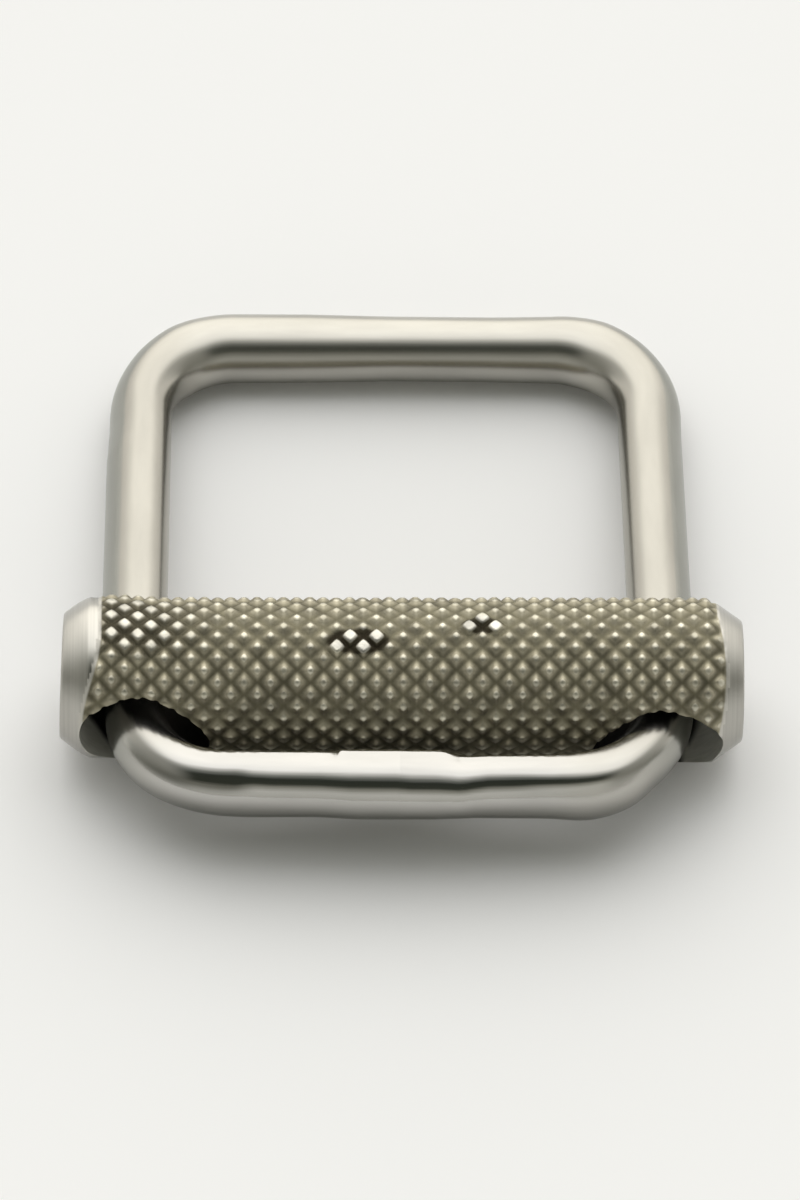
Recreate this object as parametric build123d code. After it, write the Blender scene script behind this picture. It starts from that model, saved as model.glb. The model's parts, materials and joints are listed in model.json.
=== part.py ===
"""Slide bar buckle: a bent and butt welded wire frame with a knurled bar that slides along its legs.

Millimetres. The buckle lies on a surface at Z = 0, with the sliding bar along X, the front cross
bar towards -Y and the rear cross bar towards +Y. The bar and the rear cross bar touch the surface,
so the frame leans up towards the front. The origin is on the surface, under the buckle's middle.
"""
from build123d import *
import os
from math import asin, atan2, cos, degrees, hypot, pi, radians, sin

# Frame, one length of round wire
WIRE_DIAMETER = 4.0
LEG_SPACING = 32.4  # between the axes of the two legs
CROSS_BAR_SPACING = 36.9  # between the axes of the front and rear cross bars
BEND_RADIUS = 6.0  # of the wire's axis at the corners
WELD_LENGTH = 6.8  # of the dressed butt weld in the middle of the front cross bar
WELD_RISE = 0.15  # of the weld above the wire

# Sliding bar, turned from round stock
BAR_DIAMETER = 10.4  # over the crests of the knurl
BAR_OVERHANG = 4.8  # of the bar beyond each leg's axis
TURNED_UNDERCUT = 0.1  # of the plain ends below the crests
END_FACE_DIAMETER = 7.8
CHAMFER_LENGTH = 2.2
CHAMFER_CROWN = 0.15  # bulge of the chamfer above a straight cone

# Slots across the bar, one for each leg
SLOT_SIDE_PLAY = 4.0  # slot width less the wire
SLOT_HEIGHT_PLAY = 1.8  # slot height less the wire
SLOT_INSET = 0.45  # of each slot's middle inside the leg's axis

# Diamond knurl
KNURL_START = 2.5  # from the left end face
KNURL_END = 1.4  # from the right end face
KNURL_PITCH = 1.65  # from diamond to diamond along the bar
KNURL_COUNT = 21  # diamonds round the bar
KNURL_DEPTH = 0.4

# How the bar lies in the frame
FRONT_GAP = 0.75  # between the bar and the front cross bar
BAR_SHIFT = 0.15  # of the bar to the right of the frame's middle
LEG_SEAT = 0.15  # between each leg and the lower wall of its slot

CUT_MARGIN = 1.0  # how far cutting shapes reach past the bar

wire_radius = WIRE_DIAMETER / 2
bar_radius = BAR_DIAMETER / 2
bar_length = LEG_SPACING + 2 * BAR_OVERHANG
slot_width = WIRE_DIAMETER + SLOT_SIDE_PLAY
slot_height = WIRE_DIAMETER + SLOT_HEIGHT_PLAY
leg_drop = slot_height / 2 - wire_radius - LEG_SEAT  # of the legs' axes below the bar's axis
front_reach = wire_radius + FRONT_GAP + bar_radius  # from the bar's axis to the front cross bar's
rear_reach = CROSS_BAR_SPACING - front_reach


def frame_lean():
    """Angle that brings the rear cross bar down to the surface while the bar lies on it."""
    height = bar_radius - wire_radius
    return asin(height / hypot(rear_reach, leg_drop)) - atan2(leg_drop, rear_reach)


def frame_location(lean):
    """Places a model whose XY plane holds the legs' axes, with Y = 0 under the bar's axis."""
    place = (front_reach - rear_reach) / 2 * cos(lean)
    height = bar_radius - leg_drop * cos(lean)
    return Location((0, place, height), (-degrees(lean), 0, 0))


def make_wire_frame():
    """Closed rectangle of round wire with bent corners, swollen where its ends are welded."""
    middle = (rear_reach - front_reach) / 2
    outline = Pos(-BAR_SHIFT, middle) * RectangleRounded(LEG_SPACING, CROSS_BAR_SPACING, BEND_RADIUS)
    path = outline.wire()
    ring = sweep(Plane(path @ 0, z_dir=path % 0) * Circle(wire_radius), path=path)
    return ring + make_weld()


def make_weld():
    """Barrel round the front cross bar, flush with the wire at both ends."""
    half = WELD_LENGTH / 2
    crown = wire_radius + WELD_RISE
    arc = ThreePointArc((-half, wire_radius), (0, crown), (half, wire_radius))
    closing = Polyline((half, wire_radius), (half, 0), (-half, 0), (-half, wire_radius))
    section = make_face([arc, closing])
    return Pos(-BAR_SHIFT, -front_reach) * revolve(section, Axis.X)


def knurl_point(step, turn, start):
    """Corner of the diamond lattice: crests where the two counts add to an even number."""
    crest = (step + turn) % 2 == 0
    radius = bar_radius if crest else bar_radius - KNURL_DEPTH
    angle = pi * turn / KNURL_COUNT
    return Vector(start + step * KNURL_PITCH / 2, radius * cos(angle), radius * sin(angle))


def make_knurl(start, end):
    """Band of pointed diamonds, each four flat facets from its crest down to the groove floors."""
    steps = 2 * round((end - start) / KNURL_PITCH)
    turns = 2 * KNURL_COUNT
    rows = [[knurl_point(step, turn, start) for turn in range(turns)] for step in range(steps + 1)]
    facets = []
    for step in range(steps):
        for turn in range(turns):
            here, beside = rows[step][turn], rows[step][(turn + 1) % turns]
            ahead, across = rows[step + 1][turn], rows[step + 1][(turn + 1) % turns]
            if (step + turn) % 2 == 0:
                facets += [(here, ahead, beside), (across, beside, ahead)]
            else:
                facets += [(beside, here, across), (ahead, across, here)]
    caps = [rows[0], rows[steps]]
    faces = [Face(Wire.make_polygon(corners)) for corners in facets + caps]
    return Solid(Shell(faces)), start + steps * KNURL_PITCH / 2


def turned_end(near, far):
    """Plain turned length of the bar between two places along it."""
    radius = bar_radius - TURNED_UNDERCUT
    plane = Plane(origin=(near, 0, 0), z_dir=(1 if far > near else -1, 0, 0))
    return extrude(plane * Circle(radius), abs(far - near))


def chamfer_cutter(face, inward):
    """Ring that turns the crowned chamfer on one end of the bar."""
    foot = Vector(face, END_FACE_DIAMETER / 2)
    shoulder = Vector(face + inward * CHAMFER_LENGTH, bar_radius)
    slope = shoulder - foot
    outward = Vector(-inward * slope.Y, abs(slope.X)).normalized()
    crown = (foot + shoulder) / 2 + outward * CHAMFER_CROWN
    above = Vector(shoulder.X, bar_radius + CUT_MARGIN)
    corner = Vector(face - inward * CUT_MARGIN, bar_radius + CUT_MARGIN)
    beside = Vector(face - inward * CUT_MARGIN, foot.Y)
    arc = ThreePointArc(foot, crown, shoulder)
    section = make_face([arc, Polyline(shoulder, above, corner, beside, foot)])
    return revolve(section, Axis.X)


def make_slot(middle):
    """Long hole across the bar with round ends."""
    outline = Plane.XZ * Pos(middle, 0) * SlotOverall(slot_width, slot_height)
    return extrude(outline, bar_radius + CUT_MARGIN, both=True)


def make_knurled_bar():
    """Turned bar with a knurled middle, chamfered ends and a slot for each leg."""
    half = bar_length / 2
    knurl, knurl_end = make_knurl(KNURL_START - half, half - KNURL_END)
    bar = knurl + turned_end(KNURL_START - half, -half) + turned_end(knurl_end, half)
    bar -= chamfer_cutter(-half, 1)
    bar -= chamfer_cutter(half, -1)
    slot_middle = LEG_SPACING / 2 - SLOT_INSET
    for side in (-1, 1):
        bar -= make_slot(side * slot_middle)
    return bar


def main():
    lean = frame_lean()
    placed = frame_location(lean)
    parts = {
        "wire_frame": placed * make_wire_frame(),
        "knurled_bar": placed * Pos(0, 0, leg_drop) * make_knurled_bar(),
    }
    os.makedirs("parts", exist_ok=True)
    for node, part in parts.items():
        export_step(part, f"parts/{node}.step")


if __name__ == "__main__":
    main()
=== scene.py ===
"""Slide bar buckle: satin wire frame, knurled sliding bar, and the studio it is pictured in.

Laid out as an add-on and run as a script. Everything is in metres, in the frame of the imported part.
The bar lies along X, the legs run along the slide joint's axis, and the floor is at Z = 0.
"""
import json

import bpy
import numpy as np
from mathutils import Matrix, Vector


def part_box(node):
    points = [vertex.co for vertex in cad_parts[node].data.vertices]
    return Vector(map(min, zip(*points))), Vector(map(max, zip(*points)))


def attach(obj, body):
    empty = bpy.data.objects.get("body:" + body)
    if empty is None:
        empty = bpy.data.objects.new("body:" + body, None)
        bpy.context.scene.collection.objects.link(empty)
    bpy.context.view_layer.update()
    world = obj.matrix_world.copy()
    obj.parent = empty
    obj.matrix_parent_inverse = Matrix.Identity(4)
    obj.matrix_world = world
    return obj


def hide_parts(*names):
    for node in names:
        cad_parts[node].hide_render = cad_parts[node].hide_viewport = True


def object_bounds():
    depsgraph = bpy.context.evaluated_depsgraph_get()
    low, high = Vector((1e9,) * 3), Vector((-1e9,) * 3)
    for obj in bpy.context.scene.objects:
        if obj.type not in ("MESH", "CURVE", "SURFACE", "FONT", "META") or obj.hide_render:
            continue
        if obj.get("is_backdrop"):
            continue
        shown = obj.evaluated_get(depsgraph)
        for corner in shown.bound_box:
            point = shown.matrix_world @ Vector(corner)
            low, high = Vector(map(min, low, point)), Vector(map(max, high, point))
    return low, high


bl_info = {
    "name": "Slide bar buckle",
    "version": (1, 0, 0),
    "blender": (4, 5, 0),
    "location": "3D View > Sidebar > Buckle",
    "description": "Wire frame buckle with a knurled sliding bar",
    "category": "Add Mesh",
}

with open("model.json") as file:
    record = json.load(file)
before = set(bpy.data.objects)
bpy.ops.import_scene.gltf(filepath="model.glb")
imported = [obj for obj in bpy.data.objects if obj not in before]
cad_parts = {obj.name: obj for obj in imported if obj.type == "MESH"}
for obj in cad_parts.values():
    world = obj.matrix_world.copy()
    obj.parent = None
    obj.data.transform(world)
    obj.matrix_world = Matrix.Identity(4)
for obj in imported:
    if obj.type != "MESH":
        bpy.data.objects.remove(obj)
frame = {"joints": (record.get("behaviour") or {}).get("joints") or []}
CAD_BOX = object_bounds()
WIRE_LOW, WIRE_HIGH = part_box("wire_frame")
BAR_LOW, BAR_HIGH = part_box("knurled_bar")
MM = 0.001
TURN = 2 * np.pi

# Directions of the leaning frame: across the legs, along them towards the rear, and out of their plane
ACROSS = np.array([1.0, 0.0, 0.0])
ALONG = np.array(frame["joints"][0]["axis"], float)
OUT = np.cross(ACROSS, ALONG)
BAR_AXIS = np.array([0, (BAR_LOW.y + BAR_HIGH.y) / 2, (BAR_LOW.z + BAR_HIGH.z) / 2])

# Degrees round the wire from the frame's outward side over the top
FRONT_FACING = 53  # to the side of the front bar that faces the camera
REAR_FACING = 122  # to the same side of the rear bar
FLATS = 40, 90  # from FRONT_FACING to the flats that the strap has pressed on the front bar

# Front bar, in mm right of the frame's middle. A span holds the places between which something
# starts and, if it ends too, those between which it ends. The ridge, the hollow and the patch of
# painted dark reflection have a middle and a reach round the wire, in radians from FRONT_FACING.
FRONT_OVAL = [  # and mm out of round
    (-12.5, 0.10), (-9.4, 0.105), (-7.6, 0.055), (-4.8, 0.03), (-3, -0.024), (-0.2, -0.04), (0.7, -0.075),
    (2.6, -0.085), (3.5, -0.05), (4.4, 0.03), (5.3, 0.09), (7.2, 0.115), (9, 0.145), (10.9, 0.197),
]
RIDGE, RIDGE_STEPS = (0.12, 0.28), [(0.035, (6.5, 9.5)), (0.05, (9.5, 12))]  # mm high, and span
HOLLOW, HOLLOW_SPAN, HOLLOW_DEPTH = (0.095, 0.38), ((-18, -14), (-10, -8.6)), 0.072
# Painted reflection: a darker band on the camera side of the wire where the front bar runs into the left bend
PAINTED_REFLECTION_PATCH, PAINTED_REFLECTION_SPAN = (-0.2, 0.18), ((-17, -13), (-10.5, -8.2))
THIN_SPAN = (2, 4.5), (9, 13)
MATT_SPAN, MATT_SHARE = (8.5, 12), 0.55
OFFSET_SPAN = 2.2, 4.2  # from the left half to the right one

WELD_ENDS = -0.55, 0.515  # from the frame's middle, in lengths of the weld
WELD_TOP = 35, 75  # degrees from FRONT_FACING over which its top begins
# mm from the weld's left end over which it rises and from its right end over which it falls, in
# front and on the top
WELD_RISES = (-1.6, 1.6), (-0.1, 0.25)
WELD_FALLS = (-1.5, 1.2), (-0.95, 0)
NOTCH, NOTCH_DEPTH = (0.1, 0.15), 0.02  # mm from its right end: middle and reach, and depth

# Left and right front bend: share of the bend from the front bar, and mm pressed flat there
FRONT_BENDS = {
    -1: [(-0.25, 0.02), (1.5, 0.58)],
    1: [(-0.25, -0.08), (0.1, -0.1), (0.25, 0), (0.35, 0.12), (0.5, 0.48), (0.65, 0.47), (1, 0.3)],
}
FRONT_BEND_SPAN = (-0.25, 0.15), (1.1, 1.5)
# Left and right half of the rear: bends' lengths from the leg towards the middle, and mm fuller than round
REAR_OUTSIDE = {
    -1: [
        (-0.4, 0), (-0.15, -0.15), (0.05, -0.15), (0.25, -0.02), (0.45, 0.15), (0.65, 0.25), (0.85, 0.16),
        (1.5, 0.14), (2.08, 0),
    ],
    1: [
        (-0.2, 0), (0.1, 0.08), (0.3, 0.16), (0.5, 0.24), (0.7, 0.26), (0.85, 0.12), (1, 0), (1.4, -0.06),
        (2.08, 0),
    ],
}
REAR_INSIDE = {
    -1: [(0, 0), (0.25, 0.15), (0.5, 0.38), (0.8, 0.32), (1.1, 0.3), (1.5, 0.27), (2.08, 0.17)],
    1: [(0, 0), (0.25, 0.15), (0.5, 0.33), (0.8, 0.38), (1.1, 0.3), (1.5, 0.22), (2.08, 0.17)],
}
# Degrees round the wire from the frame's outward side over the top
PRESSED_SIDE, FULL_SIDE = -20, 20  # to the middle of the flattening and of the outside fullness
FULL_INSIDE = 205, 34  # middle and reach of the inside fullness
FLANK_REFLECTION_EDGE = 54, 61  # where the painted reflection that greys the legs' outer flanks ends
REAR_UNDER_SHADE, REAR_SHADE_SHARE = (130, 150), 0.5  # where the painted shade on the rear bar's under side starts, and how dark it makes it
FRONT_UNDER_SHADE = (-175, -140), (-70, -20)  # span of the painted shade on the front bar's under side, from FRONT_FACING
LEFT_LEG_OVAL = 1.4  # of the left leg, against the right one
WIRE_SIDES = 96  # cells round the wire
# Cells along each straight and bend from the front bar's middle
WIRE_CELLS = [150, 36, 60, 36, 90, 36, 60, 36, 150]

# Knurl: its heights are shares of a full point, and up means degrees from the bar's front over its top
KNURL_FLAT, LOW_FLAT = 0.62, 0.80  # flats on the diamonds, and the lowest ones as a share of that
FLAT_EDGE = 0.07  # rounding of the flats
RUBBED_GAIN, RUBBED_FLAT, RUBBED_EDGE = 1.75, 0.97, 0.06  # of rubbed diamonds, against the others
GROOVE_POWER = 1.3  # widens the grooves
DIAMOND_LEAN = 0.35  # how much steeper the diamonds are along the bar
KNURL_SEED = 7
BURNISHED = [(-2.66, 83, 2.1, 11), (4.93, 97, 1.3, 8.5)]  # mm along the bar, up, and reach in both
BURNISH_EDGE, BURNISH_LUCK = (0.7, 1.1), 0.3  # in squared reaches, and how far luck shifts it
LEFT_BURNISH, LEFT_BURNISH_END = 0.72, (-16, -10)  # share, and mm along the bar
LEFT_BURNISH_UP = (62, 84), (118, 138)
START_SLANT, START_UP, START_FADE = 1.15, (15, 72), (-0.12, 0.38)  # mm, up and its reach, and mm
END_BOW, END_UP, END_FADE = 0.45, (58, 52), (-0.1, 0.25)
PLAIN_UNDER, PLAIN_UNDER_UP = (14, 15), ((-75, -65), (-24, -16))  # mm to both sides, and up

# Ends of the bar, in mm: the left taper starts above the end face and is crowned
LEFT_CONE, RIGHT_CONE = 0.57, 0.70  # slopes of the tapers
LEFT_FOOT, LEFT_CROWN, LEFT_CROWN_REACH = 0.14, 0.11, 2.2  # above the face, crown, and its reach
LEFT_PLAIN, LEFT_EDGE, RIGHT_EDGE = 0.2, 0.06, 0.08  # plain part below the crests, and edges' rounding
ROLL_START, ROLL_SHARE = (18.4, 19.1), 0.75  # where and how much the knurl is rolled over the tapers
RIM_BREAK, RIM_DEPTH = (0.08, 0.36), 0.18  # from the slots' rims, and least depth of the knurl there
SWING_START, SWING_FULL, FACE_SWING = -14, -18.5, 0.7  # of the left end, and share added at its face
LEFT_LEAN, LEAN_WAY = 0.035, (0.84, 0.54)  # slope of its face, and way along the legs and out of them

ARCH_INSIDE, ARCH_OUTSIDE = 1.5, {-1: 2.2, 1: 1.9}  # powers of the slots' arches
SLOT_FINISH = 2  # material of the slots' walls on the bar
CUTTER_SIDES = 96

BURNT_GROOVE, BURNT_FLANK = (0.03, 0.025, 0.016), (0.10, 0.088, 0.06)
# Slot walls: near black as painted shade inside, greys as painted light on the lit mouths
SLOT_PAINTED_SHADE, SLOT_PAINTED_LIGHT = (0.012, 0.011, 0.009), ((0.40, 0.40, 0.36), (0.62, 0.61, 0.56))


def length(name, text, value):
    """A size in metres that can be changed in the panel."""
    return bpy.props.FloatProperty(
        name=name, description=text, default=value, precision=5, unit="LENGTH", subtype="DISTANCE"
    )


def colour(name, text, value):
    """A colour that can be changed in the panel."""
    return bpy.props.FloatVectorProperty(
        name=name, description=text, default=value, size=3, min=0, max=1, subtype="COLOR"
    )


def angle(name, text, value):
    """An angle, given in degrees, that can be changed in the panel."""
    return bpy.props.FloatProperty(
        name=name, description=text, default=float(np.radians(value)), unit="ROTATION", subtype="ANGLE"
    )


class WireFrameSettings(bpy.types.PropertyGroup):
    """Sizes and finish of the welded wire frame."""

    diameter: length("Wire diameter", "Gauge of the round wire", 4.0 * MM)
    leg_spacing: length("Leg spacing", "Between the axes of the legs", 32.4 * MM)
    cross_bar_spacing: length("Cross bar spacing", "Between the axes of the cross bars", 36.9 * MM)
    bend_radius: length("Bend radius", "Of the wire's axis at the corners", 6.0 * MM)
    weld_length: length("Weld length", "Of the dressed butt weld", 6.8 * MM)
    weld_rise: length("Weld rise", "Of the weld above the wire", 0.15 * MM)
    splay: bpy.props.FloatProperty(
        name="Splay", description="Sideways run of each leg for its length", default=0.0146, precision=4
    )
    left_offset: length("Left offset", "Of the left half of the front bar to the rear", 0.15 * MM)
    right_offset: length("Right offset", "Of the right half of the front bar to the front", 0.08 * MM)
    right_thinning: length("Right thinning", "Of the right half of the front bar", 0.24 * MM)
    leg_oval: length("Leg oval", "Out of round of the legs", 0.11 * MM)
    rear_oval: length("Rear oval", "Out of round of the rear cross bar", 0.08 * MM)
    satin: colour("Satin steel", "Drawn surface of the rear bar", (0.46, 0.445, 0.405))
    # Painted shade: the darker tone of the cross bars' under sides, also used for the painted dark band by
    # the left bend
    under: colour("Under side", "Duller under sides of the cross bars", (0.25, 0.245, 0.225))
    legs: colour("Leg steel", "Drawn surface of the legs", (0.40, 0.385, 0.345))
    # Painted reflection: the greyer, darker tone on the legs' outer sides
    flanks: colour("Outer flanks", "Greyer outer sides of the legs", (0.345, 0.345, 0.315))
    polished: colour("Polished steel", "Front bar, polished by the strap", (0.475, 0.465, 0.445))


class KnurledBarSettings(bpy.types.PropertyGroup):
    """Sizes and finish of the sliding bar."""

    undercut: length("Turned undercut", "Of the plain ends below the crests", 0.1 * MM)
    face_diameter: length("End face diameter", "Flat of each end face", 7.4 * MM)
    left_undercut: length("Left undercut", "Of the left plain end below the crests", 0.27 * MM)
    left_swing: length("Left swing", "Of the left end off the bar's axis", 0.2 * MM)
    slot_width: length("Slot width", "Of the long hole for a leg", 8.0 * MM)
    slot_height: length("Slot height", "Of the long hole for a leg", 5.8 * MM)
    right_drop: length("Right slot drop", "Of the right hole below the left one", 0.68 * MM)
    slot_reach: length("Slot reach", "From the bar's middle to a slot's middle", 15.75 * MM)
    knurl_start: length("Knurl start", "From the left end face", 2.5 * MM)
    knurl_pitch: length("Knurl pitch", "From diamond to diamond along the bar", 1.6225 * MM)
    knurl_depth: length("Knurl depth", "From crest to groove", 0.31 * MM)
    knurl_count: bpy.props.IntProperty(
        name="Knurl count", description="Diamonds round the bar", default=21, min=3
    )
    knurl_length: length("Knurl length", "Of the knurled band", 37.95 * MM)
    knurl_phase: bpy.props.FloatProperty(
        name="Knurl phase", description="Turn of the knurl in half diamonds", default=0.5
    )
    knurl_shift: length("Knurl shift", "Of the diamonds along the bar", -0.085 * MM)
    turned: colour("Turned steel", "Plain ends of the bar", (0.52, 0.505, 0.465))
    crests: colour("Knurl crests", "Tips of the diamonds", (0.68, 0.65, 0.54))
    flanks: colour("Knurl flanks", "Sides of the diamonds", (0.40, 0.37, 0.28))
    grooves: colour("Knurl grooves", "Dull metal between the diamonds", (0.19, 0.175, 0.12))
    rubbed: colour("Rubbed tips", "Burnished tips", (0.62, 0.60, 0.54))


class StudioSettings(bpy.types.PropertyGroup):
    """Camera, floor and light."""

    azimuth: angle("Azimuth", "Of the camera from the front towards the right", -1.559)
    elevation: angle("Elevation", "Of the camera above the floor", 52.717)
    roll: angle("Roll", "Of the camera to the left", 1.272)
    distance: length("Distance", "From the camera to the buckle", 697.34 * MM)
    lens: bpy.props.FloatProperty(
        name="Lens", description="Focal length in millimetres", default=336.15, subtype="DISTANCE_CAMERA"
    )
    floor: colour("Floor", "Plain pale floor", (0.93, 0.93, 0.94))
    light: bpy.props.FloatProperty(
        name="Light", description="Strength of the light tent", default=1.32, min=0
    )


# ---- meshes


def smooth_step(low, high, value):
    """0 below low, 1 above high and 3 t^2 - 2 t^3 between."""
    t = np.clip((value - low) / (high - low), 0, 1)
    return t * t * (3 - 2 * t)


def smooth_window(rise, fall, value):
    """Smooth step up over one pair of values and down again over another."""
    return smooth_step(*rise, value) * (1 - smooth_step(*fall, value))


def smooth_turn(low, high, radians):
    """Smooth step between two angles in degrees, for an angle in radians."""
    return smooth_step(np.radians(low), np.radians(high), radians)


def bell(value, middle, reach):
    """e to minus the square of the distance from the middle in reaches."""
    return np.exp(-(((value - middle) / reach) ** 2))


def half_wave(value, middle, reach):
    """Cosine that is 1 in the middle and 0 from its reach on."""
    return np.cos(np.clip((value - middle) / reach, -1, 1) * np.pi / 2)


def between(first, second, share):
    """First value, and by a share the second."""
    return first * (1 - share) + second * share


def soft_least(first, second, width):
    """The smaller of two values, rounded off over a width where they cross."""
    first, second = first / width, second / width
    least = np.minimum(first, second)
    return width * (least - np.log(np.exp(least - first) + np.exp(least - second)))


def read_table(value, stops):
    """Height between the stops of a table, with straight lines between them and level ends."""
    places, heights = np.array(stops, float).T
    return np.interp(value, places, heights)


def read_sides(place, value, tables):
    """Height from the left one of two tables where the place is negative, and else from the right one."""
    left, right = (read_table(value, tables[side]) for side in (-1, 1))
    return np.where(place < 0, left, right)


def turned_within(radians):
    """The same angle between minus half a turn and half a turn."""
    return np.angle(np.exp(1j * radians))


def ring_faces(rows, cols, closed):
    """Four corners of each cell of a grid that closes over its columns, and over its rows if closed."""
    row = np.arange(rows if closed else rows - 1)[:, None]
    col = np.arange(cols)[None, :]
    beside, ahead = (col + 1) % cols, (row + 1) % rows
    return np.stack([row * cols + col, row * cols + beside, ahead * cols + beside, ahead * cols + col], -1)


def put_mesh(name, points, faces, materials, finish=0):
    """Mesh object at the origin, smooth shaded, with its place in its points and a finish for each face."""
    mesh = bpy.data.meshes.new(name)
    mesh.from_pydata(points.tolist(), [], [face for part in faces for face in part.tolist()])
    for material in materials:
        mesh.materials.append(material)
    mesh.polygons.foreach_set("use_smooth", np.ones(len(mesh.polygons), bool))
    finishes = np.broadcast_to(finish, len(mesh.polygons)).astype(np.int32)
    mesh.polygons.foreach_set("material_index", finishes)
    piece = bpy.data.objects.new(name, mesh)
    bpy.context.collection.objects.link(piece)
    return piece


def put_attribute(piece, name, values):
    """Float or vector attribute on the points of a piece."""
    kind, key = ("FLOAT", "value") if values.ndim == 1 else ("FLOAT_VECTOR", "vector")
    data = piece.data.attributes.new(name, kind, "POINT").data
    data.foreach_set(key, values.astype(np.float32).ravel())


def wire_line(size):
    """Knots of the wire's closed axis: travel, corner centre and outward angle, from the front bar's middle.

    The axis is the corner centre plus the bend radius times the outward direction. On a straight
    the centre moves and the angle stays. In a bend the angle turns and the centre stays.
    """
    a = size.leg_spacing / 2 - size.bend_radius
    b = size.cross_bar_spacing / 2 - size.bend_radius
    bend = size.bend_radius * np.pi / 2
    travel = np.cumsum([0, a, bend, 2 * b, bend, 2 * a, bend, 2 * b, bend, a])
    centre_x = np.array([0, a, a, a, a, -a, -a, -a, -a, 0])
    centre_y = np.array([-b, -b, -b, b, b, b, b, -b, -b, -b])
    angle = np.radians([-90, -90, 0, 0, 90, 90, 180, 180, 270, 270])
    return travel, centre_x, centre_y, angle


def pressed_flat(across, width=0.02):
    """Rise of a round section of radius 1 where it is pressed flat at both FLATS.

    The tangents at both angles meet in a corner, 1 / cos of the angle from each, rounded off over a width.
    """
    low, high = np.radians(FLATS)
    inside = np.clip(across, low, high)
    corner = soft_least(1 / np.cos(inside - low), 1 / np.cos(high - inside), width)
    level = soft_least(1, 1 / np.cos(high - low), width)
    return corner - level


def front_bar_section(place, across, size):
    """Rise of the front bar's radius, from its wear and its dressed weld.

    place is the distance right of the frame's middle and across the angle from FRONT_FACING towards
    the top. The weld is a plateau that starts and ends steeply on the top and gently in front. A ridge
    runs along the right half and a hollow beside the left bend, both bells over the angle. The section
    is out of round by a table's height times the sine of twice the angle.
    """
    place = place / MM
    left, right = (place - share * size.weld_length / MM for share in WELD_ENDS)
    top = smooth_turn(*WELD_TOP, across)
    start = between(*(smooth_step(*span, left) for span in WELD_RISES), top)
    stop = between(*(smooth_step(*span, right) for span in WELD_FALLS), top)
    notch = NOTCH_DEPTH * bell(right, *NOTCH) * top
    oval = read_table(place, FRONT_OVAL) * np.sin(2 * across)
    ridge = sum(rise * smooth_step(*span, place) for rise, span in RIDGE_STEPS) * bell(across, *RIDGE)
    hollow = HOLLOW_DEPTH * smooth_window(*HOLLOW_SPAN, place) * bell(across, *HOLLOW)
    weld = size.weld_rise * start * (1 - stop)
    flat = size.diameter / 2 * pressed_flat(across)
    thin = size.right_thinning / 2 * smooth_window(*THIN_SPAN, place)
    return weld + flat - thin + (oval + ridge - hollow - notch) * MM


def bend_flattening(place, around, travel):
    """Flattening of the front bends' outer side, by the cosine of the angle from there to the power 1.5."""
    turn = (abs(place) - travel[1]) / (travel[2] - travel[1])
    depth = read_sides(place, turn, FRONT_BENDS) * MM
    depth = depth * smooth_window(*FRONT_BEND_SPAN, turn)
    return depth * np.maximum(np.cos(around - np.radians(PRESSED_SIDE)), 0) ** 1.5


def rear_fullness(place, around, travel):
    """Rise of the rear: outside by the squared cosine of the angle from there, inside by a bell."""
    turn = (abs(place) - travel[3]) / (travel[4] - travel[3])
    outer = np.maximum(np.cos(around - np.radians(FULL_SIDE)), 0) ** 2
    inner = bell(np.degrees(around), *FULL_INSIDE)
    rise = read_sides(place, turn, REAR_OUTSIDE) * outer + read_sides(place, turn, REAR_INSIDE) * inner
    return rise * MM


def front_share(place, travel):
    """1 on the front bar, and down to 0 over its bends."""
    return 1 - smooth_step(travel[1], travel[2], abs(place))


def leg_share(outward):
    """1 on the legs, where the outward direction is sideways, and 0 on the cross bars."""
    return smooth_step(0.3, 0.9, abs(np.cos(outward)))


def wire_radius(place, around, outward, travel, size):
    """Radius of the wire: round, less the wear of the front bar, its bends and the rear, and slightly oval.

    An oval adds its height times the sine of twice the angle, which leaves the middle line alone.
    """
    front, leg = front_share(place, travel), leg_share(outward)
    facing = turned_within(around - np.radians(FRONT_FACING))
    r = size.diameter / 2 + front * front_bar_section(place, facing, size)
    r = r - bend_flattening(place, around, travel) + rear_fullness(place, around, travel)
    leg_oval = size.leg_oval * leg * np.where(np.cos(outward) < 0, LEFT_LEG_OVAL, 1)
    rear_oval = size.rear_oval * (1 - leg) * (1 - front)
    r = r + leg_oval * np.sin(2 * (around - np.pi / 2))
    return r + rear_oval * np.sin(2 * (around - np.radians(REAR_FACING)))


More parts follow.
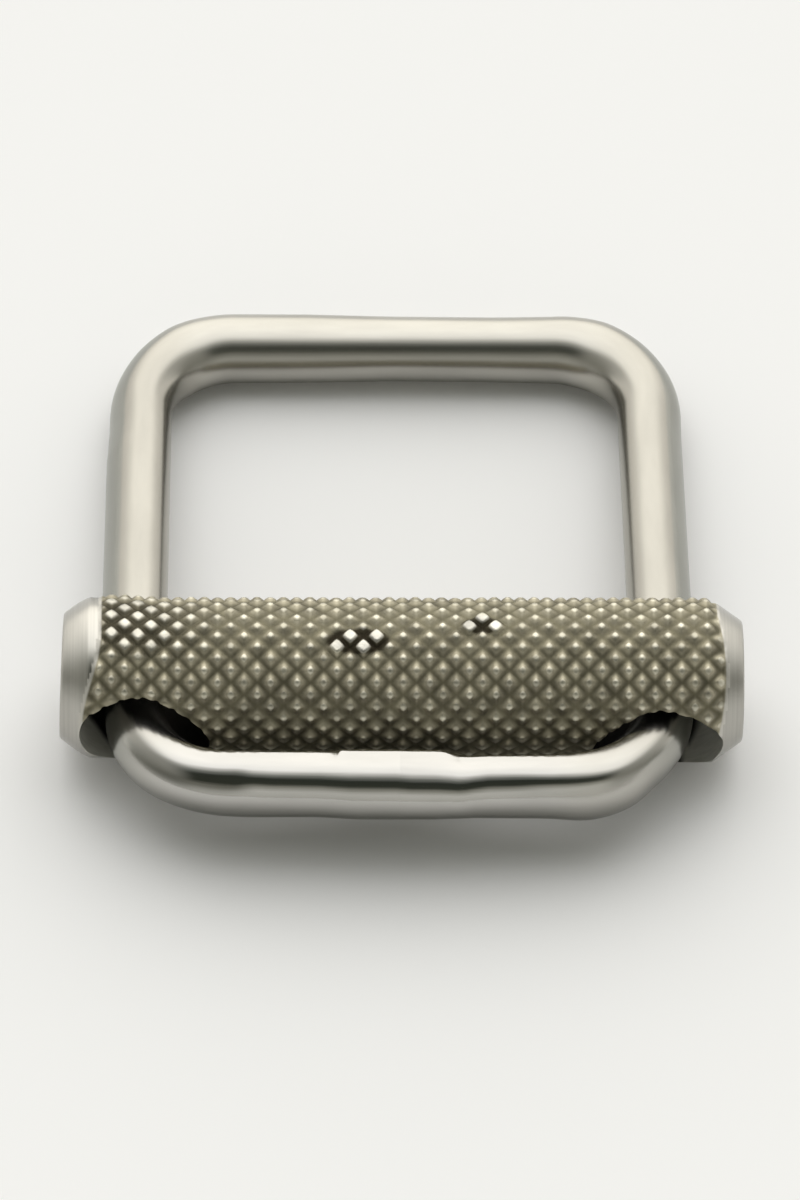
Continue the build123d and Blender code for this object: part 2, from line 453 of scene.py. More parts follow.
def make_wire_frame(size):
    """Closed tube of round wire.

    Point = centre(s) + (bend + r cos v) outward(s) + r sin v OUT, where s runs round the rectangle,
    v round the wire, and r is the wire's radius. Then the legs splay, and the halves of the front bar
    are offset where they meet in the weld.
    """
    travel, *knots = wire_line(size)
    spans = zip(travel[:-1], travel[1:], WIRE_CELLS)
    s = np.concatenate([np.linspace(start, end, count, endpoint=False) for start, end, count in spans])
    x, y, outward = (np.interp(s, travel, values)[:, None] for values in knots)
    place = np.where(s > travel[-1] / 2, s - travel[-1], s)[:, None]
    around = np.arange(WIRE_SIDES) / WIRE_SIDES * TURN
    r = wire_radius(place, around, outward, travel, size)
    reach = size.bend_radius + r * np.cos(around)
    flat_x, flat_y = x + reach * np.cos(outward), y + reach * np.sin(outward)
    flat_x -= size.splay * flat_y * flat_x / (size.leg_spacing / 2)
    offset = between(size.left_offset, -size.right_offset, smooth_step(*OFFSET_SPAN, place / MM))
    flat_y += front_share(place, travel) * offset
    rear = np.array(((WIRE_LOW.x + WIRE_HIGH.x) / 2, WIRE_HIGH.y - size.diameter / 2, size.diameter / 2))
    middle = rear - ALONG * size.cross_bar_spacing / 2
    flat = (flat_x, flat_y, r * np.sin(around))
    points = middle + sum(value[..., None] * axis for value, axis in zip(flat, (ACROSS, ALONG, OUT)))
    faces = ring_faces(len(s), WIRE_SIDES, True).reshape(-1, 4)
    piece = put_mesh("wire_frame_surface", points.reshape(-1, 3), [faces], [satin_wire(size)])
    lines = np.stack(np.broadcast_arrays(s[:, None], r * np.cos(around), r * np.sin(around)), -1)
    put_attribute(piece, "wire_place", lines.reshape(-1, 3))
    for name, values in wire_marks(place, around, outward, travel).items():
        put_attribute(piece, name, np.broadcast_to(values, r.shape).ravel())
    return piece


def wire_marks(place, around, outward, travel):
    """Shares of polish, legs, painted reflection on the legs' flanks, and painted shade below and by the left
    bend.
    """
    facing, outer = turned_within(around - np.radians(FRONT_FACING)), abs(turned_within(around))
    polish = 1 - smooth_step(travel[1] + 1 * MM, travel[2] - 1 * MM, abs(place))
    leg = leg_share(outward)
    # Painted reflection: the legs' outer flanks are greyed
    flank_reflection = leg * (1 - polish) * (1 - smooth_turn(*FLANK_REFLECTION_EDGE, outer))
    rear_bar = 1 - smooth_step(0.1, 0.7, abs(np.cos(outward)))
    # Painted shade: darker under sides of the rear and the front cross bar
    rear_under_shade = REAR_SHADE_SHARE * rear_bar * (1 - polish) * smooth_turn(*REAR_UNDER_SHADE, outer)
    front_under_shade = polish * smooth_window(*FRONT_UNDER_SHADE, np.degrees(facing))
    # Painted reflection: a dark band where the front bar runs into the left bend
    reflection_patch = smooth_window(*PAINTED_REFLECTION_SPAN, place / MM) * bell(facing, *PAINTED_REFLECTION_PATCH)
    polish = polish * (1 - MATT_SHARE * smooth_step(*MATT_SPAN, place / MM))
    under = np.maximum(rear_under_shade + front_under_shade, reflection_patch)
    return {"polish": polish, "leg": leg * (1 - polish), "flank_reflection": flank_reflection, "under": under}


def knurl_height(step, turn, size):
    """Height of the diamonds, 0 at groove floors and 1 where four flanks would meet in a point.

    On the slanting counts p = (step + turn) / 2 and q = (step - turn) / 2 every diamond's middle is a
    whole number. u and v are twice the distances to it, and the height is 1 less their larger at
    the grooves and 1 less their cubic norm at the tip, raised to a power that widens the grooves.
    Each diamond is rounded off at its own height, and burnished ones have a broad flat.
    """
    p, q = (step + turn) / 2, (step - turn) / 2
    near_p, near_q = np.round(p), np.round(q)
    u, v = 2 * abs(p - near_p), 2 * abs(q - near_q)
    most = np.maximum(u, v)
    sideways = abs(p - near_p + q - near_q)
    rise = 1 - most**3 - (1 - most**2) * ((u**3 + v**3) ** (1 / 3) + DIAMOND_LEAN * sideways)
    rise = np.clip(rise, 0, 1)
    crest_step = (near_p + near_q).astype(int)
    crest_turn = (near_p - near_q).astype(int) % (2 * size.knurl_count)
    rng = np.random.default_rng(KNURL_SEED)
    table = rng.random((crest_step.max() - crest_step.min() + 1, 2 * size.knurl_count))
    luck = table[crest_step - crest_step.min(), crest_turn]
    x = lattice_start(size) + crest_step * size.knurl_pitch / 2
    worn = burnished(x, crest_turn + size.knurl_phase, BURNISH_LUCK * luck, size)
    plain = soft_least(rise**GROOVE_POWER, KNURL_FLAT * between(LOW_FLAT, 1, luck), FLAT_EDGE)
    rubbed = soft_least(RUBBED_GAIN * rise, KNURL_FLAT * RUBBED_FLAT, RUBBED_EDGE)
    return between(plain, rubbed, worn)


def front_angle(turn, size):
    """Angle round the bar from its front over its top, in degrees, for a turn in half diamonds."""
    lean = np.degrees(np.arctan2(-ALONG[2], ALONG[1]))
    return 180 + lean - np.degrees(turn * np.pi / size.knurl_count)


def burnished(x, turn, luck, size):
    """Share by which the knurl is rubbed: two spots and, faintly, the left end of the top."""
    up = front_angle(turn, size)
    share = np.zeros(x.shape)
    for middle_x, middle_up, wide, high in BURNISHED:
        reach = ((x - middle_x * MM) / (wide * MM)) ** 2 + ((up - middle_up) / high) ** 2
        share = np.maximum(share, 1 - smooth_step(*BURNISH_EDGE, reach + luck))
    left = (1 - smooth_step(*LEFT_BURNISH_END, x / MM)) * smooth_window(*LEFT_BURNISH_UP, up)
    return np.maximum(share, LEFT_BURNISH * left)


def lattice_start(size):
    """Place along the bar of the first row of diamonds."""
    return BAR_LOW.x + size.knurl_start + size.knurl_shift


def slot_arch(x, side, size):
    """Half heights of a slot's outline at a place along the bar: below, and above where it is arched.

    Below it is an obround. Above it is (1 - t^n)^(1/n), where t runs from 0 in the slot's middle to
    1 at its ends and n is smaller towards the bar's middle.
    """
    half = size.slot_height / 2
    aside = x - side * size.slot_reach
    across = np.clip(abs(aside) - (size.slot_width / 2 - half), 0, half)
    t = np.clip(2 * abs(aside) / size.slot_width, 0, 1)
    power = np.where(aside * side < 0, ARCH_INSIDE, ARCH_OUTSIDE[side])
    return np.sqrt(half**2 - across**2), half * (1 - t**power) ** (1 / power)


def slot_distance(x, up, side, size):
    """Distance from the outline of a slot, seen along the legs; negative inside it.

    It is the distance from the obround, with what lies above stretched from the arch to the obround.
    """
    half = size.slot_height / 2
    below, above = slot_arch(x, side, size)
    up = up + (size.right_drop if side > 0 else 0)
    up = np.where(up > 0, up * np.maximum(below, 0.2 * half) / np.maximum(above, 0.2 * half), up)
    across = np.maximum(abs(x - side * size.slot_reach) - (size.slot_width / 2 - half), 0)
    return np.hypot(across, up) - half


def knurl_band(x, turn, size):
    """Share of the knurl: it starts along a slanting line, ends along a bowed one, and stops below the slots.

    The slant is a squared half wave over the angle round the bar, and the bow a half wave.
    """
    up = front_angle(turn, size)
    from_left = x - BAR_LOW.x - size.knurl_start
    inside = from_left / MM + START_SLANT * half_wave(up, *START_UP) ** 2
    ahead = (size.knurl_length - from_left) / MM + END_BOW * half_wave(up, *END_UP)
    under = smooth_step(*PLAIN_UNDER, abs(x) / MM) * smooth_window(*PLAIN_UNDER_UP, up)
    return smooth_step(*START_FADE, inside) * smooth_step(*END_FADE, ahead) * (1 - under)


def bar_radius_at(x, turn, size):
    """Radius of the bar before its slots are cut, the share of the knurl in it, and the depth it is cut to.

    The radius is that of the crests inside the tapers of both ends, less the knurl's depth or the
    turned undercut. The left taper is crowned. The knurl is rolled over both tapers, and its crests
    are broken beside the slots' rims.
    """
    radius = (BAR_HIGH.z - BAR_LOW.z) / 2
    step = (x - lattice_start(size)) / (size.knurl_pitch / 2)
    height = knurl_height(step, turn - size.knurl_phase, size)
    depth = size.knurl_depth * (1 - height / KNURL_FLAT)
    out = radius * np.sin(turn * np.pi / size.knurl_count)
    rim = np.minimum(slot_distance(x, out, -1, size), slot_distance(x, out, 1, size))
    broken = 1 - smooth_step(*RIM_BREAK, rim / MM)
    depth = between(depth, np.maximum(depth, RIM_DEPTH * MM), broken)
    band = knurl_band(x, turn, size)
    depth = between(np.where(x < 0, size.left_undercut, size.undercut), depth, band)
    foot = size.face_diameter / 2
    crown = np.sin(np.clip((x - BAR_LOW.x) / (LEFT_CROWN_REACH * MM), 0, 1) * np.pi)
    left = foot + LEFT_CONE * (x - BAR_LOW.x) + (LEFT_FOOT + LEFT_CROWN * crown) * MM
    left = soft_least(left, radius - LEFT_PLAIN * MM * (1 - band), LEFT_EDGE * MM)
    right = soft_least(foot + RIGHT_CONE * (BAR_HIGH.x - x), radius, RIGHT_EDGE * MM)
    shoulder = np.minimum(left, right)
    rolled = ROLL_SHARE * smooth_step(*ROLL_START, abs(x) / MM) * band
    return between(np.minimum(radius - depth, shoulder), shoulder - depth, rolled), band, depth


def left_swing(x, size):
    """How far the bar's surface lies off its axis, along the legs and out of their plane alike."""
    beside = 1 - smooth_step(SWING_FULL, SWING_START, x / MM)
    beyond = 1 - smooth_step(BAR_LOW.x, SWING_FULL * MM, x)
    return size.left_swing * (beside + FACE_SWING * beyond) * np.sqrt(0.5)


def bar_points(x, radius, angle, size):
    """Points round the bar's axis, with the angle from the rearward direction towards the top.

    The left end was turned off the axis, up and to the rear, and its face leans to the right there.
    """
    swing = left_swing(x, size)
    along, out = radius * np.cos(angle) + swing, radius * np.sin(angle) + swing
    lean = LEFT_LEAN * (1 - smooth_step(BAR_LOW.x, SWING_FULL * MM, x))
    x = x + lean * (LEAN_WAY[0] * along + LEAN_WAY[1] * out + size.face_diameter / 2)
    return BAR_AXIS + x[..., None] * ACROSS + along[..., None] * ALONG + out[..., None] * OUT


def make_bar(size):
    """Turned and knurled bar: a height field over the place along the bar and the angle round it."""
    cells = 6  # of the grid to half a diamond, both ways
    pitch = size.knurl_pitch / 2 / cells
    start = lattice_start(size)
    first = int((BAR_LOW.x + 0.25 * MM - start) / pitch)
    last = int((BAR_HIGH.x - 0.25 * MM - start) / pitch)
    inner = start + np.arange(first, last + 1) * pitch
    rim = np.array([0, 0.02, 0.06, 0.13]) * MM
    x = np.concatenate([BAR_LOW.x + rim, inner, BAR_HIGH.x - rim[::-1]])
    turn = np.arange(2 * size.knurl_count * cells) / cells
    angle = turn * np.pi / size.knurl_count
    grid_x, grid_turn = np.meshgrid(x, turn, indexing="ij")
    radius, band, _ = bar_radius_at(grid_x, grid_turn, size)
    edge = np.minimum(grid_x - BAR_LOW.x, BAR_HIGH.x - grid_x)
    soft = 0.13 * MM  # rounding of the edge round each face
    radius -= soft - np.sqrt(np.maximum(soft**2 - np.maximum(soft - edge, 0) ** 2, 0))
    # each end face closes in rings of these shares of its rim, and then in a pole
    shares = np.array([0.92, 0.7, 0.4, 0.15])[:, None]
    rows_x = np.concatenate([np.full(4, x[0]), x, np.full(4, x[-1])])
    radius = np.concatenate([shares[::-1] * radius[0], radius, shares * radius[-1]])
    band = np.concatenate([np.zeros((4, len(turn))), band, np.zeros((4, len(turn)))])
    points = bar_points(rows_x[:, None] + 0 * radius, radius, angle + 0 * radius, size)
    rows, cols = radius.shape
    a, b, c, d = np.moveaxis(ring_faces(rows, cols, False), -1, 0)
    # the cells' diagonals run along the grooves
    half_step = np.floor((rows_x[:-1] - start) / (size.knurl_pitch / 2) + 1e-6)
    half_turn = np.floor(turn - size.knurl_phase + 1e-6)
    rising = ((half_step[:, None] + half_turn[None, :]) % 2 == 0)[..., None]
    one = np.where(rising, np.stack([a, b, d], -1), np.stack([a, b, c], -1)).reshape(-1, 3)
    two = np.where(rising, np.stack([b, c, d], -1), np.stack([a, c, d], -1)).reshape(-1, 3)
    poles = bar_points(np.array([x[0], x[-1]]), np.zeros(2), np.zeros(2), size)
    around, base = np.arange(cols), (rows - 1) * cols
    beside = (around + 1) % cols
    fans = [np.stack([np.full(cols, rows * cols), beside, around], -1),
            np.stack([np.full(cols, rows * cols + 1), base + around, base + beside], -1)]
    plain = (np.maximum(band[:-1], band[1:]) < 0.02).ravel()
    finish = np.concatenate([plain, plain, np.ones(2 * cols)])
    points = np.concatenate([points.reshape(-1, 3), poles])
    materials = [knurled_steel(size), turned_steel(size), slot_wall(size)]
    return put_mesh("knurled_bar_surface", points, [one, two, *fans], materials, finish)


def make_slot_cutter(size, side, materials):
    """Prism along the legs: the slot's outline over x = half its width cos t, carried across the bar."""
    cols = CUTTER_SIDES
    angle = (np.arange(cols) + 0.5) / cols * TURN
    reach = np.array([-8, -3, 3, 8])[:, None] * MM
    drop = size.right_drop if side > 0 else 0
    x = side * size.slot_reach + size.slot_width / 2 * np.cos(angle)
    below, above = slot_arch(x, side, size)
    place = np.broadcast_arrays(x, reach, np.where(np.sin(angle) > 0, above, -below) - drop)
    points = BAR_AXIS + sum(value[..., None] * way for value, way in zip(place, (ACROSS, ALONG, OUT)))
    sides = ring_faces(len(reach), cols, False).reshape(-1, 4)[:, ::-1]
    last = (len(reach) - 1) * cols
    caps = [np.arange(cols)[None, :], (last + np.arange(cols))[None, ::-1]]
    return put_mesh("slot_cutter", points.reshape(-1, 3), [sides, *caps], materials, SLOT_FINISH)


def cut_slots(bar, size):
    """Cuts both slots, and keeps their rims crisp where the wall's material meets the outside."""
    cutters = [make_slot_cutter(size, side, bar.data.materials) for side in (-1, 1)]
    for cutter in cutters:
        cut = bar.modifiers.new("slot", "BOOLEAN")
        cut.operation, cut.object, cut.solver = "DIFFERENCE", cutter, "MANIFOLD"
    bpy.context.view_layer.update()
    done = bar.evaluated_get(bpy.context.evaluated_depsgraph_get())
    mesh = bpy.data.meshes.new_from_object(done)
    bar.modifiers.clear()
    bar.data = mesh
    for cutter in cutters:
        bpy.data.objects.remove(cutter)
    finish, total = (np.zeros(len(mesh.polygons), np.int32) for _ in range(2))
    mesh.polygons.foreach_get("material_index", finish)
    mesh.polygons.foreach_get("loop_total", total)
    edge = np.zeros(len(mesh.loops), np.int32)
    mesh.loops.foreach_get("edge_index", edge)
    walls = np.bincount(edge, np.repeat(finish == SLOT_FINISH, total), len(mesh.edges))
    uses = np.bincount(edge, minlength=len(mesh.edges))
    sharp = (walls > 0) & (walls < uses)
    mesh.attributes.new("sharp_edge", "BOOLEAN", "EDGE").data.foreach_set("value", sharp)
    points = np.zeros(len(mesh.vertices) * 3)
    mesh.vertices.foreach_get("co", points)
    points = points.reshape(-1, 3) - BAR_AXIS
    x = points[:, 0]
    along, out = points @ ALONG - left_swing(x, size), points @ OUT - left_swing(x, size)
    turn = np.arctan2(out, along) % TURN * size.knurl_count / np.pi
    _, band, depth = bar_radius_at(x, turn, size)
    put_attribute(bar, "rubbed", burnished(x, turn, 0, size))
    put_attribute(bar, "knurled", band)
    put_attribute(bar, "height", np.clip(1 - depth / size.knurl_depth, 0, 1))


# ---- materials


def add_node(tree, kind, **values):
    """Node with its attributes and its inputs set by name."""
    node = tree.nodes.new("ShaderNode" + kind)
    for name, value in values.items():
        if hasattr(node, name):
            setattr(node, name, value)
        else:
            node.inputs[name.replace("_", " ")].default_value = value
    return node


def start_material(name, metallic=1.0):
    """Material with one shader linked to its output."""
    material = bpy.data.materials.new(name)
    material.use_nodes = True
    tree = material.node_tree
    shader = next(node for node in tree.nodes if node.type == "BSDF_PRINCIPLED")
    shader.inputs["Metallic"].default_value = metallic
    return material, tree, shader


def read_attribute(tree, name, output="Fac"):
    """Attribute of the piece."""
    return add_node(tree, "Attribute", attribute_name=name).outputs[output]


def object_place(tree):
    """Place in the piece's own coordinates."""
    return add_node(tree, "TexCoord").outputs["Object"]


def split_vector(tree, vector):
    """Outputs X, Y and Z of a vector."""
    node = add_node(tree, "SeparateXYZ")
    tree.links.new(vector, node.inputs[0])
    return node.outputs


def calculate(tree, operation, *values):
    """Sum, product or the like of links and numbers."""
    node = add_node(tree, "Math", operation=operation)
    for socket, value in zip(node.inputs, values):
        if isinstance(value, bpy.types.NodeSocket):
            tree.links.new(value, socket)
        else:
            socket.default_value = value
    return node.outputs[0]


def map_range(tree, source, low, high, top=1.0, kind="LINEAR"):
    """0 where the source is low, up to the top where it is high."""
    node = add_node(tree, "MapRange", interpolation_type=kind, From_Min=low, From_Max=high, To_Max=top)
    tree.links.new(source, node.inputs["Value"])
    return node.outputs[0]


def ramp(tree, source, stops):
    """Colour ramp over a value, with stops of a place and a colour or grey."""
    node = tree.nodes.new("ShaderNodeValToRGB")
    tree.links.new(source, node.inputs["Fac"])
    elements = node.color_ramp.elements
    while len(elements) < len(stops):
        elements.new(0.5)
    for element, (place, tone) in zip(elements, stops):
        element.position = place
        element.color = (*tone, 1) if hasattr(tone, "__len__") else (tone, tone, tone, 1)
    return node.outputs["Color"]


def noise(tree, vector, scale, detail, stretch=(1, 1, 1)):
    """Noise over a vector that is first stretched."""
    mapping = add_node(tree, "Mapping", Scale=stretch)
    tree.links.new(vector, mapping.inputs["Vector"])
    texture = add_node(tree, "TexNoise", Scale=scale, Detail=detail)
    tree.links.new(mapping.outputs[0], texture.inputs["Vector"])
    return texture.outputs["Fac"]


def mix_colour(tree, share, first, second, blend="MIX"):
    """Mix of two colours or links by a link, or in full if it is None."""
    node = add_node(tree, "Mix", data_type="RGBA", blend_type=blend)
    if share is None:
        node.inputs["Factor"].default_value = 1.0
    else:
        tree.links.new(share, node.inputs["Factor"])
    for value, name in ((first, "A"), (second, "B")):
        socket = next(s for s in node.inputs if s.name == name and s.type == "RGBA")
        if isinstance(value, bpy.types.NodeSocket):
            tree.links.new(value, socket)
        else:
            socket.default_value = (*value, 1)
    return next(s for s in node.outputs if s.type == "RGBA")


def bump(tree, shader, height, distance, strength):
    """Bump of a height on a shader."""
    node = add_node(tree, "Bump", Distance=distance, Strength=strength)
    tree.links.new(height, node.inputs["Height"])
    tree.links.new(node.outputs[0], shader.inputs["Normal"])


def satin_wire(size):
    """Steel wire drawn along its length, polished on the front cross bar."""
    material, tree, shader = start_material("satin_wire")
    place = read_attribute(tree, "wire_place", "Vector")
    polish = read_attribute(tree, "polish")
    tone = mix_colour(tree, read_attribute(tree, "leg"), tuple(size.satin), tuple(size.legs))
    # Painted reflection: greyer tone on the legs' outer flanks
    tone = mix_colour(tree, read_attribute(tree, "flank_reflection"), tone, tuple(size.flanks))
    tone = mix_colour(tree, polish, tone, tuple(size.polished))
    # Painted shade: darker under sides of the cross bars, and the painted dark reflection by the left bend
    tone = mix_colour(tree, read_attribute(tree, "under"), tone, tuple(size.under))
    clouds = noise(tree, place, 1, 3, (180, 700, 700))
    spread = ramp(tree, clouds, [(0.3, 0.9), (0.7, 1.0)])
    tone = mix_colour(tree, None, tone, spread, "MULTIPLY")
    tree.links.new(tone, shader.inputs["Base Color"])
    tree.links.new(ramp(tree, polish, [(0, 0.25), (1, 0.10)]), shader.inputs["Roughness"])
    lines = noise(tree, place, 1, 4, (250, 9000, 9000))
    bump(tree, shader, lines, 0.004 * MM, 0.5)
    return material


def knurled_steel(size):
    """Steel that is bright on the diamonds' tips and dull in the grooves, more so where it is rubbed."""
    material, tree, shader = start_material("knurled_steel")
    place = object_place(tree)
    height = read_attribute(tree, "height")
    plain = [(0, size.grooves), (0.42, size.flanks), (0.66, size.flanks), (0.92, size.crests)]
    burnt = [(0, BURNT_GROOVE), (0.5, BURNT_FLANK), (0.9, size.rubbed)]
    rubbed = read_attribute(tree, "rubbed")
    tone = mix_colour(tree, rubbed, ramp(tree, height, plain), ramp(tree, height, burnt))
    mottle = ramp(tree, noise(tree, place, 900, 3), [(0.32, 0.62), (0.62, 1.0)])
    tone = mix_colour(tree, None, tone, mottle, "MULTIPLY")
    knurled = ramp(tree, read_attribute(tree, "knurled"), [(0.25, 0), (0.6, 1)])
    tone = mix_colour(tree, knurled, tuple(size.turned), tone)
    tree.links.new(tone, shader.inputs["Base Color"])
    tree.links.new(ramp(tree, height, [(0, 0.6), (1, 0.36)]), shader.inputs["Roughness"])
    grain = noise(tree, place, 1, 3, (4500, 3000, 3000))
    bump(tree, shader, grain, 0.03 * MM, 0.8)
    return material


def turned_steel(size):
    """Steel turned to fine rings, which spread reflections along the bar, and with painted shade lower down.
    """
    material, tree, shader = start_material("turned_steel")
    place = object_place(tree)
    shader.inputs["Roughness"].default_value = 0.32
    shader.inputs["Anisotropic"].default_value = 0.75
    shader.inputs["Anisotropic Rotation"].default_value = 0.25
    tangent = add_node(tree, "Tangent", direction_type="RADIAL", axis="X")
    tree.links.new(tangent.outputs[0], shader.inputs["Tangent"])
    rings = noise(tree, place, 1, 4, (9000, 120, 120))
    streaks = ramp(tree, rings, [(0.35, 0.90), (0.65, 1.0)])
    tone = mix_colour(tree, None, tuple(size.turned), streaks, "MULTIPLY")
    # Painted shade: darker towards the bottom of the turned ends
    level = map_range(tree, split_vector(tree, place)["Z"], 0, 10 * MM)
    shade = ramp(tree, level, [(0.3, 0.70), (0.55, 0.84), (0.87, 0.82), (0.98, 1.0)])
    tone = mix_colour(tree, None, tone, shade, "MULTIPLY")
    tree.links.new(tone, shader.inputs["Base Color"])
    bump(tree, shader, rings, 0.006 * MM, 0.5)
    return material


def slot_wall(size):
    """Milled wall of the slots: black inside as painted shade, grey near the bar's ends and outside as
    painted light.

    The distance from the bar's axis tells inside from outside, and less of it is needed further out.
    """
    material, tree, shader = start_material("slot_wall")
    place = object_place(tree)
    aside = calculate(tree, "ABSOLUTE", split_vector(tree, place)["X"])
    near, far = (size.slot_reach + reach * MM for reach in (1.3, 1.9))
    outer = map_range(tree, aside, near, far, kind="SMOOTHSTEP")
    near, far = (size.slot_reach + reach * MM for reach in (2.1, 4.1))
    further = map_range(tree, aside, near, far, 2.7 * MM)
    centred = add_node(tree, "Mapping", Location=(-BAR_AXIS).tolist(), Scale=(0, 1, 1))
    tree.links.new(place, centred.inputs["Vector"])
    radius = add_node(tree, "VectorMath", operation="LENGTH")
    tree.links.new(centred.outputs[0], radius.inputs[0])
    reach = calculate(tree, "ADD", radius.outputs["Value"], further)
    mouth = map_range(tree, reach, 3.7 * MM, 4.3 * MM, kind="SMOOTHSTEP")
    share = calculate(tree, "MULTIPLY", outer, mouth)
    marks = noise(tree, place, 1, 3, (900, 5000, 900))
    # Painted shade inside the slot, painted light on the lit rims of its mouths
    tone = mix_colour(tree, share, SLOT_PAINTED_SHADE, mix_colour(tree, marks, *SLOT_PAINTED_LIGHT))
    tree.links.new(tone, shader.inputs["Base Color"])
    shader.inputs["Roughness"].default_value = 0.6
    tree.links.new(ramp(tree, share, [(0, 1.0), (1, 0.35)]), shader.inputs["Metallic"])
    bump(tree, shader, marks, 0.01 * MM, 0.5)
    return material


def plain_floor(size):
    """Matt pale floor."""
    material, _, shader = start_material("studio_floor", metallic=0)
    shader.inputs["Base Color"].default_value = (*size.floor, 1)
    shader.inputs["Roughness"].default_value = 0.9
    shader.inputs["Specular IOR Level"].default_value = 0.1
    return material


# ---- studio

AIM = Vector((0.0736, -1.8145, 2.1589)) * MM  # middle of the picture
FLOOR_REACH = 1.5  # metres, from the middle to each edge

# Radiance of the light tent over the angle from the front horizon, over the top, to the back one:
# ahead, and towards both sides
TENT = [
    (-180, (0.95, 0.93, 0.88)),
    (-5, (0.50, 0.50, 0.46)),
    (3, (0.56, 0.56, 0.52)),
    (22, (0.62, 0.62, 0.58)),
    (38, (0.30, 0.30, 0.26)),
    (48, (0.045, 0.05, 0.038)),
    (66, (0.035, 0.04, 0.032)),
    (78, (0.25, 0.26, 0.24)),
    (90, (0.80, 0.80, 0.77)),
    (98, (1.35, 1.35, 1.32)),
    (125, (1.60, 1.58, 1.52)),
    (165, (1.60, 1.57, 1.48)),
    (180, (1.20, 1.17, 1.08)),
]
TENT_SIDES = [
    (-180, (0.85, 0.84, 0.80)),
    (-5, (0.48, 0.48, 0.45)),
    (3, (0.50, 0.50, 0.47)),
    (25, (0.36, 0.36, 0.33)),
    (42, (0.27, 0.27, 0.24)),
    (62, (0.30, 0.30, 0.27)),
    (88, (0.38, 0.38, 0.35)),
    (115, (0.60, 0.60, 0.57)),
    (150, (1.00, 0.98, 0.93)),
    (180, (0.85, 0.83, 0.78)),
]


def make_world(size):
    """Light tent: bright above and behind, dark beside the camera, grey at both sides."""
    world = bpy.data.worlds.new("light_tent")
    bpy.context.scene.world = world
    world.use_nodes = True
    tree = world.node_tree
    background = next(node for node in tree.nodes if node.type == "BACKGROUND")
    way = split_vector(tree, add_node(tree, "TexCoord").outputs["Generated"])
    turn = calculate(tree, "ARCTAN2", way["Z"], calculate(tree, "MULTIPLY", way["Y"], -1))
    share = map_range(tree, turn, -np.pi, np.pi)
    over, beside = (
        ramp(tree, share, [((angle + 180) / 360, tone) for angle, tone in stops])
        for stops in (TENT, TENT_SIDES)
    )
    edge = map_range(tree, calculate(tree, "ABSOLUTE", way["X"]), 0.35, 0.72, kind="SMOOTHSTEP")
    tree.links.new(mix_colour(tree, edge, over, beside), background.inputs["Color"])
    background.inputs["Strength"].default_value = size.light


def make_floor(size):
    """Level floor far wider than the view."""
    corners = np.array([[-1, -1, 0], [1, -1, 0], [1, 1, 0], [-1, 1, 0]]) * FLOOR_REACH
    floor = put_mesh("floor", corners, [np.array([[0, 1, 2, 3]])], [plain_floor(size)])
    floor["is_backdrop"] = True


def make_camera(size):
    """Long lens from above the front, turned and rolled as in the photograph."""
    camera = bpy.data.objects.new("camera", bpy.data.cameras.new("camera"))
    bpy.context.collection.objects.link(camera)
    flat = np.cos(size.elevation)
    back = Vector((np.sin(size.azimuth) * flat, -np.cos(size.azimuth) * flat, np.sin(size.elevation)))
    right = Vector((0, 0, 1)).cross(back).normalized()
    basis = Matrix((right, back.cross(right), back)).transposed()
    turn = basis @ Matrix.Rotation(size.roll, 3, "Z")
    camera.matrix_world = Matrix.Translation(AIM + back * size.distance) @ turn.to_4x4()
    camera.data.lens = size.lens
    camera.data.sensor_width = 36
    camera.data.clip_start, camera.data.clip_end = 0.01, 10
    bpy.context.scene.camera = camera


# ---- operators and panel


class BUCKLE_OT_stage(bpy.types.Operator):
    """Add the camera, the pale floor and the light tent"""

    bl_idname = "buckle.stage"
    bl_label = "Studio"

    def execute(self, context):
        size = context.scene.buckle_studio
        make_camera(size)
        make_floor(size)
        make_world(size)
        context.scene.view_settings.view_transform = "Standard"
        return {"FINISHED"}


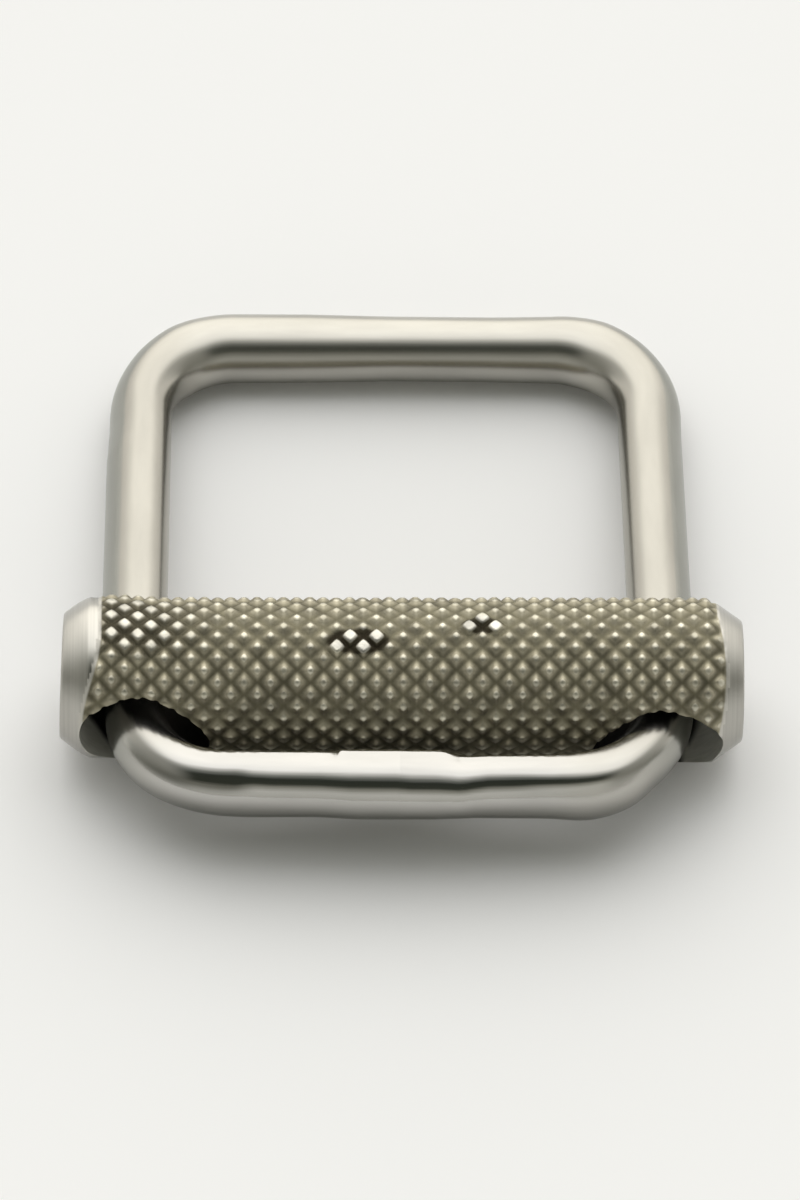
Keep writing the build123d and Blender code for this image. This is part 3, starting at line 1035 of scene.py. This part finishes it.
class BUCKLE_OT_wire_frame(bpy.types.Operator):
    """Add the welded frame of round wire"""

    bl_idname = "buckle.wire_frame"
    bl_label = "Wire frame"

    def execute(self, context):
        piece = make_wire_frame(context.scene.buckle_wire_frame)
        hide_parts("wire_frame")
        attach(piece, "frame")
        return {"FINISHED"}


class BUCKLE_OT_knurled_bar(bpy.types.Operator):
    """Add the knurled bar that slides along the legs"""

    bl_idname = "buckle.knurled_bar"
    bl_label = "Knurled bar"

    def execute(self, context):
        size = context.scene.buckle_knurled_bar
        piece = make_bar(size)
        cut_slots(piece, size)
        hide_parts("knurled_bar")
        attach(piece, "bar")
        return {"FINISHED"}


class BUCKLE_PT_panel(bpy.types.Panel):
    """Lists the pieces and their sizes"""

    bl_label = "Slide bar buckle"
    bl_idname = "BUCKLE_PT_panel"
    bl_space_type = "VIEW_3D"
    bl_region_type = "UI"
    bl_category = "Buckle"

    def draw(self, context):
        for operator, group in PARTS:
            box = self.layout.box()
            box.operator(operator.bl_idname)
            settings = getattr(context.scene, group)
            for name in settings.__annotations__:
                box.prop(settings, name)


PARTS = [
    (BUCKLE_OT_stage, "buckle_studio"),
    (BUCKLE_OT_wire_frame, "buckle_wire_frame"),
    (BUCKLE_OT_knurled_bar, "buckle_knurled_bar"),
]
SETTINGS = {
    "buckle_studio": StudioSettings,
    "buckle_wire_frame": WireFrameSettings,
    "buckle_knurled_bar": KnurledBarSettings,
}


def register():
    for name, group in SETTINGS.items():
        bpy.utils.register_class(group)
        setattr(bpy.types.Scene, name, bpy.props.PointerProperty(type=group))
    for operator, _ in PARTS:
        bpy.utils.register_class(operator)
    bpy.utils.register_class(BUCKLE_PT_panel)


def unregister():
    bpy.utils.unregister_class(BUCKLE_PT_panel)
    for operator, _ in PARTS:
        bpy.utils.unregister_class(operator)
    for name, group in SETTINGS.items():
        delattr(bpy.types.Scene, name)
        bpy.utils.unregister_class(group)


def main():
    register()
    bpy.ops.buckle.stage()
    bpy.ops.buckle.wire_frame()
    bpy.ops.buckle.knurled_bar()
    boxes = {"cad": CAD_BOX, "visual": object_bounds()}
    boxes = {name: [list(corner) for corner in box] for name, box in boxes.items()}


if __name__ == "__main__":
    main()
